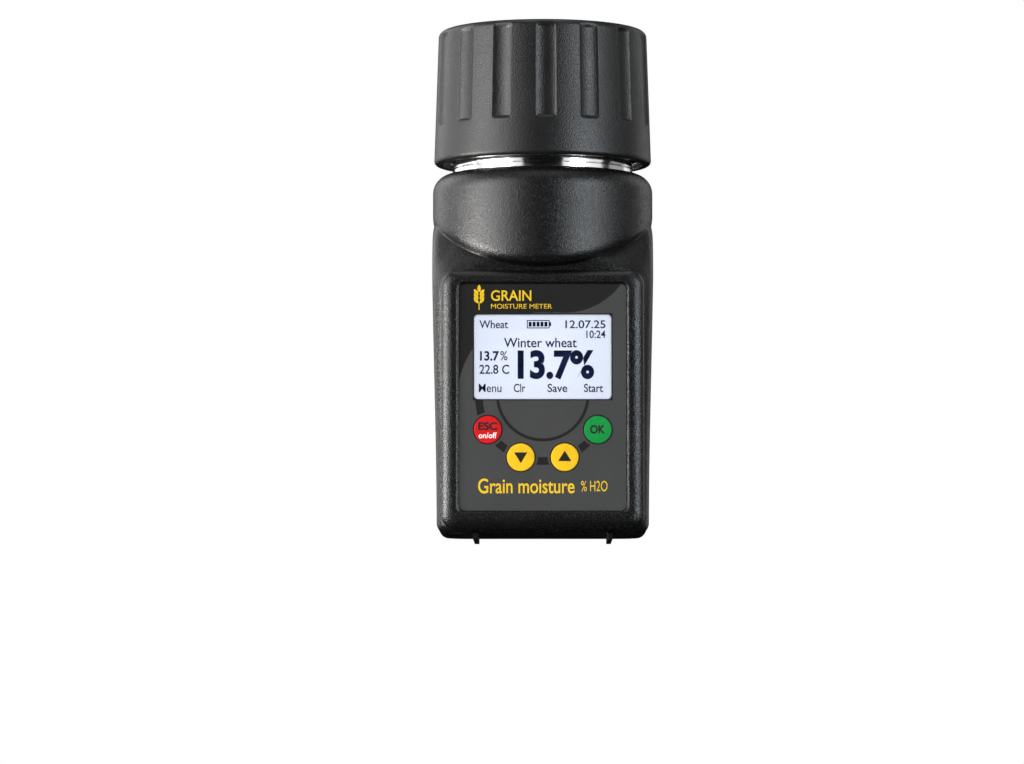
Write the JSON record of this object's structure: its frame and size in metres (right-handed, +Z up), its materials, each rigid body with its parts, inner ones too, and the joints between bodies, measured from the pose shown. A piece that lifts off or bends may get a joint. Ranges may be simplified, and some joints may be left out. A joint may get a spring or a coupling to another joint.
{
  "type": "grain moisture meter",
  "caption": "Hand-held grain moisture meter: black case with display and round keys, and a fluted screw cap over a round measuring chamber.",
  "frame": {"origin": "on the floor plane under the axis of the round barrel and cap, at the centre of the box's bottom", "axes": "+Z up along the barrel's axis, the display faces -Y, +X to the right as seen from the front"},
  "size_m": [0.075, 0.075, 0.1747],
  "materials": {
    "case_plastic": "fine spark-eroded texture",
    "cap_plastic": "fine spark-eroded texture",
    "inner_plastic": "matt",
    "polished_steel": "polished",
    "screw_steel": "bright zinc",
    "electrode_steel": "satin",
    "brass": "plain",
    "seal_rubber": "matt",
    "silicone": "matt",
    "white_plastic": "low-friction, natural colour",
    "label_film": "printed film, fine velvet grain",
    "window_plastic": "clear, glossy",
    "display_face": "pale blue, lit",
    "bezel_steel": "tinned sheet",
    "diffuser": "milky",
    "board_green": "solder mask",
    "chip_black": "moulded epoxy",
    "key_red": "printed",
    "key_yellow": "printed",
    "key_green": "printed",
    "button_red": "moulded",
    "cell_wrap": "printed sleeve",
    "contact_nickel": "nickel",
    "cable_grey": "film",
    "cable_red": "insulated wire"
  },
  "bodies": {
    "case": {"housing": "case_plastic", "chamber_collar": "polished_steel", "collar_thread": "polished_steel", "neck_gasket": "seal_rubber", "collar_screws": "screw_steel", "chamber_liner": "electrode_steel", "chamber_floor": "white_plastic", "floor_seal": "seal_rubber", "centre_electrode": "electrode_steel", "electrode_nut": "brass", "temperature_sensor": "electrode_steel", "sensor_board": "board_green", "sensor_board_screws": "screw_steel", "sensor_cable": "cable_grey", "front_frame": "case_plastic", "frame_gasket": "seal_rubber", "frame_screws": "screw_steel", "keypad_label": "label_film", "display_window": "window_plastic", "display_glass": "display_face", "display_bezel": "bezel_steel", "backlight": "diffuser", "main_board": "board_green", "board_chips": "chip_black", "key_switches": "chip_black", "board_screws": "screw_steel", "battery_case": "inner_plastic", "battery_cells": "cell_wrap", "case_contacts": "contact_nickel", "battery_cable": "cable_red", "hinge_pins": "screw_steel"},
    "spring_seat": {"spring_seat": "white_plastic"},
    "cap": {"cap_shell": "cap_plastic", "cap_thread_ring": "polished_steel", "cap_thread": "polished_steel", "cap_inner_plate": "inner_plastic", "cap_seal": "silicone", "inner_plate_screws": "screw_steel"},
    "plunger": {"pressure_plate": "electrode_steel", "plunger_stem": "electrode_steel", "stem_clip": "screw_steel", "plate_screw": "screw_steel", "indicator_button": "button_red", "pressure_spring": "electrode_steel"},
    "key_escape": {"key_escape": "key_red"},
    "key_down": {"key_down": "key_yellow"},
    "key_up": {"key_up": "key_yellow"},
    "key_ok": {"key_ok": "key_green"},
    "battery_cover": {"base_cover": "case_plastic", "cover_contacts": "contact_nickel", "cover_seal": "seal_rubber", "cover_screw": "screw_steel"}
  },
  "joints": [
    {"name": "cap_lift", "type": "slide", "parent": "case", "child": "spring_seat", "axis": [0, 0, 1], "range_m": [0, 0.027]},
    {"name": "cap_turn", "type": "hinge", "parent": "spring_seat", "child": "cap", "pos_m": [0, 0, 0.1517], "axis": [0, 0, 1], "range_deg": [0, 1080]},
    {"name": "plate_press", "type": "slide", "parent": "spring_seat", "child": "plunger", "axis": [0, 0, 1], "range_m": [0, 0.007], "stiffness_N_per_m": 1500, "springref_m": -0.002, "deforming": ["pressure_spring"]},
    {"name": "escape_press", "type": "slide", "parent": "case", "child": "key_escape", "axis": [0, 1, 0], "range_m": [0, 0.0004], "stiffness_N_per_m": 4000, "springref_m": -0.0002},
    {"name": "down_press", "type": "slide", "parent": "case", "child": "key_down", "axis": [0, 1, 0], "range_m": [0, 0.0004], "stiffness_N_per_m": 4000, "springref_m": -0.0002},
    {"name": "up_press", "type": "slide", "parent": "case", "child": "key_up", "axis": [0, 1, 0], "range_m": [0, 0.0004], "stiffness_N_per_m": 4000, "springref_m": -0.0002},
    {"name": "ok_press", "type": "slide", "parent": "case", "child": "key_ok", "axis": [0, 1, 0], "range_m": [0, 0.0004], "stiffness_N_per_m": 4000, "springref_m": -0.0002},
    {"name": "cover_hinge", "type": "hinge", "parent": "case", "child": "battery_cover", "pos_m": [0, -0.028, 0.0049], "axis": [-1, 0, 0], "range_deg": [0, 85]}
  ],
  "couplings": [
    {"joint": "cap_lift", "follows": "cap_turn", "m_per_rad": 0.0014323}
  ]
}
